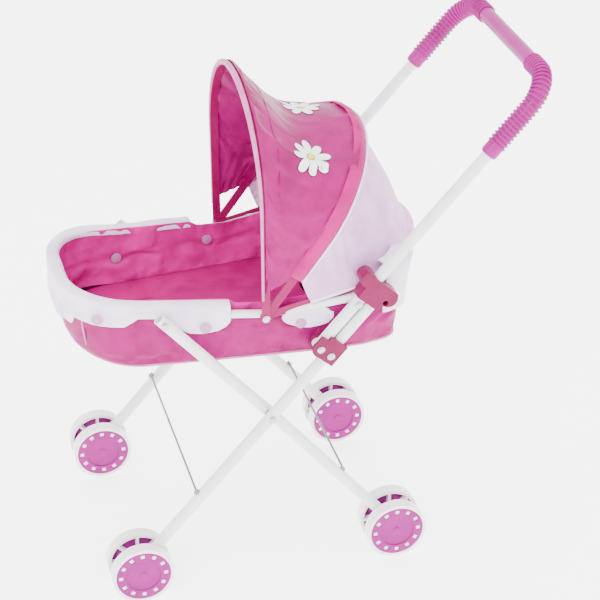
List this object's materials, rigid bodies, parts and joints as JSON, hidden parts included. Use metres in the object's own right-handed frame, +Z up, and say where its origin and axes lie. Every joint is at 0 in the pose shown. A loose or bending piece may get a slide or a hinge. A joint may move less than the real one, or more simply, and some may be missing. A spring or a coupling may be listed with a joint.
{
  "type": "doll stroller",
  "caption": "Folding toy pram for a doll: soft basket with a hooded canopy on crossed tube legs, twin-disc wheels and a ribbed U-shaped push handle.",
  "frame": {"origin": "centre of the bounding box on the floor, under the middle of the stroller", "axes": "+Z up, +X from the foot end towards the handle, +Y to the doll's side that is the pusher's right hand"},
  "size_m": [0.522, 0.2908, 0.5675],
  "materials": {
    "painted_tube": "smooth off-white gloss paint",
    "pink_plastic": "moulded pink, slightly glossy",
    "rivet_steel": "bright domed steel",
    "wire_steel": "drawn wire",
    "bow_plastic": "flexible pink strip",
    "pink_satin": "hot pink satin cloth",
    "floor_cloth": "deeper pink satin cloth",
    "white_satin": "white padded satin with a faint lilac sheen",
    "pale_binding": "pale pink bias binding",
    "pale_satin": "light lilac pink satin cloth",
    "snap_plastic": "pale pink snap button",
    "grip_plastic": "glossy magenta ribbed plastic",
    "wheel_white": "white moulded plastic",
    "cap_magenta": "glossy magenta plastic"
  },
  "bodies": {
    "basket": {"rail_foot": "painted_tube", "rail_head": "painted_tube", "rail_link_left": "painted_tube", "rail_link_right": "painted_tube", "leg_rivet_left": "rivet_steel", "leg_rivet_right": "rivet_steel", "canopy_rivet_left": "rivet_steel", "canopy_rivet_right": "rivet_steel", "basket_wall": "pink_satin", "basket_liner": "pink_satin", "floor_pad": "floor_cloth", "rim_cover": "white_satin", "hem_piping": "pale_binding", "side_flap_left": "white_satin", "side_flap_right": "white_satin", "canopy_rear_bow": "bow_plastic", "snap_front_left": "snap_plastic", "snap_front_right": "snap_plastic", "snap_side_left": "snap_plastic", "snap_side_right": "snap_plastic"},
    "rear_legs": {"rear_leg_left": "painted_tube", "rear_leg_right": "painted_tube", "rear_wire": "wire_steel", "cross_tail_left": "rivet_steel", "cross_tail_right": "rivet_steel"},
    "front_legs": {"front_leg_left": "painted_tube", "front_leg_right": "painted_tube", "front_wire": "wire_steel", "cross_rivet_left": "rivet_steel", "cross_rivet_right": "rivet_steel", "hinge_bracket_left": "pink_plastic", "hinge_bracket_right": "pink_plastic", "hinge_pin_left": "rivet_steel", "hinge_pin_right": "rivet_steel", "bracket_rivet_left": "rivet_steel", "bracket_rivet_right": "rivet_steel"},
    "handle": {"handle_tube": "painted_tube", "rail_rivet_left": "rivet_steel", "rail_rivet_right": "rivet_steel", "grip_sleeve_left": "grip_plastic", "grip_sleeve_right": "grip_plastic", "grip_centre": "grip_plastic"},
    "latch_left": {"latch_left": "pink_plastic"},
    "latch_right": {"latch_right": "pink_plastic"},
    "canopy_middle": {"canopy_middle_bow": "bow_plastic", "hood_rear_panel": "pale_satin"},
    "canopy_front": {"canopy_front_bow": "bow_plastic", "hood_front_panel": "pink_satin"},
    "wheel_fl": {"wheel_fl_inner": "wheel_white", "wheel_fl_outer": "wheel_white", "wheel_fl_cap": "cap_magenta"},
    "wheel_fr": {"wheel_fr_inner": "wheel_white", "wheel_fr_outer": "wheel_white", "wheel_fr_cap": "cap_magenta"},
    "wheel_rl": {"wheel_rl_inner": "wheel_white", "wheel_rl_outer": "wheel_white", "wheel_rl_cap": "cap_magenta"},
    "wheel_rr": {"wheel_rr_inner": "wheel_white", "wheel_rr_outer": "wheel_white", "wheel_rr_cap": "cap_magenta"}
  },
  "joints": [
    {"name": "handle_fold", "type": "hinge", "parent": "basket", "child": "handle", "pos_m": [0.04535, 0, 0.3292], "axis": [0, -1, 0], "range_deg": [0, 82]},
    {"name": "front_leg_fold", "type": "hinge", "parent": "handle", "child": "front_legs", "pos_m": [0.00346, 0, 0.28268], "axis": [0, -1, 0], "range_deg": [-125, 1]},
    {"name": "rear_leg_fold", "type": "hinge", "parent": "basket", "child": "rear_legs", "pos_m": [-0.15967, 0, 0.328], "axis": [0, -1, 0], "range_deg": [-1, 25]},
    {"name": "latch_left_slide", "type": "slide", "parent": "handle", "child": "latch_left", "axis": [0.6691, 0, 0.7431], "range_m": [0, 0.028]},
    {"name": "latch_right_slide", "type": "slide", "parent": "handle", "child": "latch_right", "axis": [0.6691, 0, 0.7431], "range_m": [0, 0.028]},
    {"name": "canopy_middle_fold", "type": "hinge", "parent": "basket", "child": "canopy_middle", "pos_m": [-0.05117, 0, 0.31852], "axis": [0, 1, 0], "range_deg": [0, 30], "deforming": ["hood_rear_panel"]},
    {"name": "canopy_front_fold", "type": "hinge", "parent": "canopy_middle", "child": "canopy_front", "pos_m": [-0.05117, 0, 0.31852], "axis": [0, 1, 0], "range_deg": [0, 36], "deforming": ["hood_front_panel"]},
    {"name": "wheel_fl_spin", "type": "hinge", "parent": "front_legs", "child": "wheel_fl", "pos_m": [-0.20067, -0.124, 0.034], "axis": [0, 1, 0], "continuous": true},
    {"name": "wheel_fr_spin", "type": "hinge", "parent": "front_legs", "child": "wheel_fr", "pos_m": [-0.20067, 0.124, 0.034], "axis": [0, 1, 0], "continuous": true},
    {"name": "wheel_rl_spin", "type": "hinge", "parent": "rear_legs", "child": "wheel_rl", "pos_m": [0.09073, -0.1197, 0.034], "axis": [0, 1, 0], "continuous": true},
    {"name": "wheel_rr_spin", "type": "hinge", "parent": "rear_legs", "child": "wheel_rr", "pos_m": [0.09073, 0.1197, 0.034], "axis": [0, 1, 0], "continuous": true}
  ],
  "couplings": [
    {"joint": "front_leg_fold", "follows": "handle_fold", "ratio": -1.51},
    {"joint": "rear_leg_fold", "follows": "handle_fold", "ratio": 0.289}
  ]
}
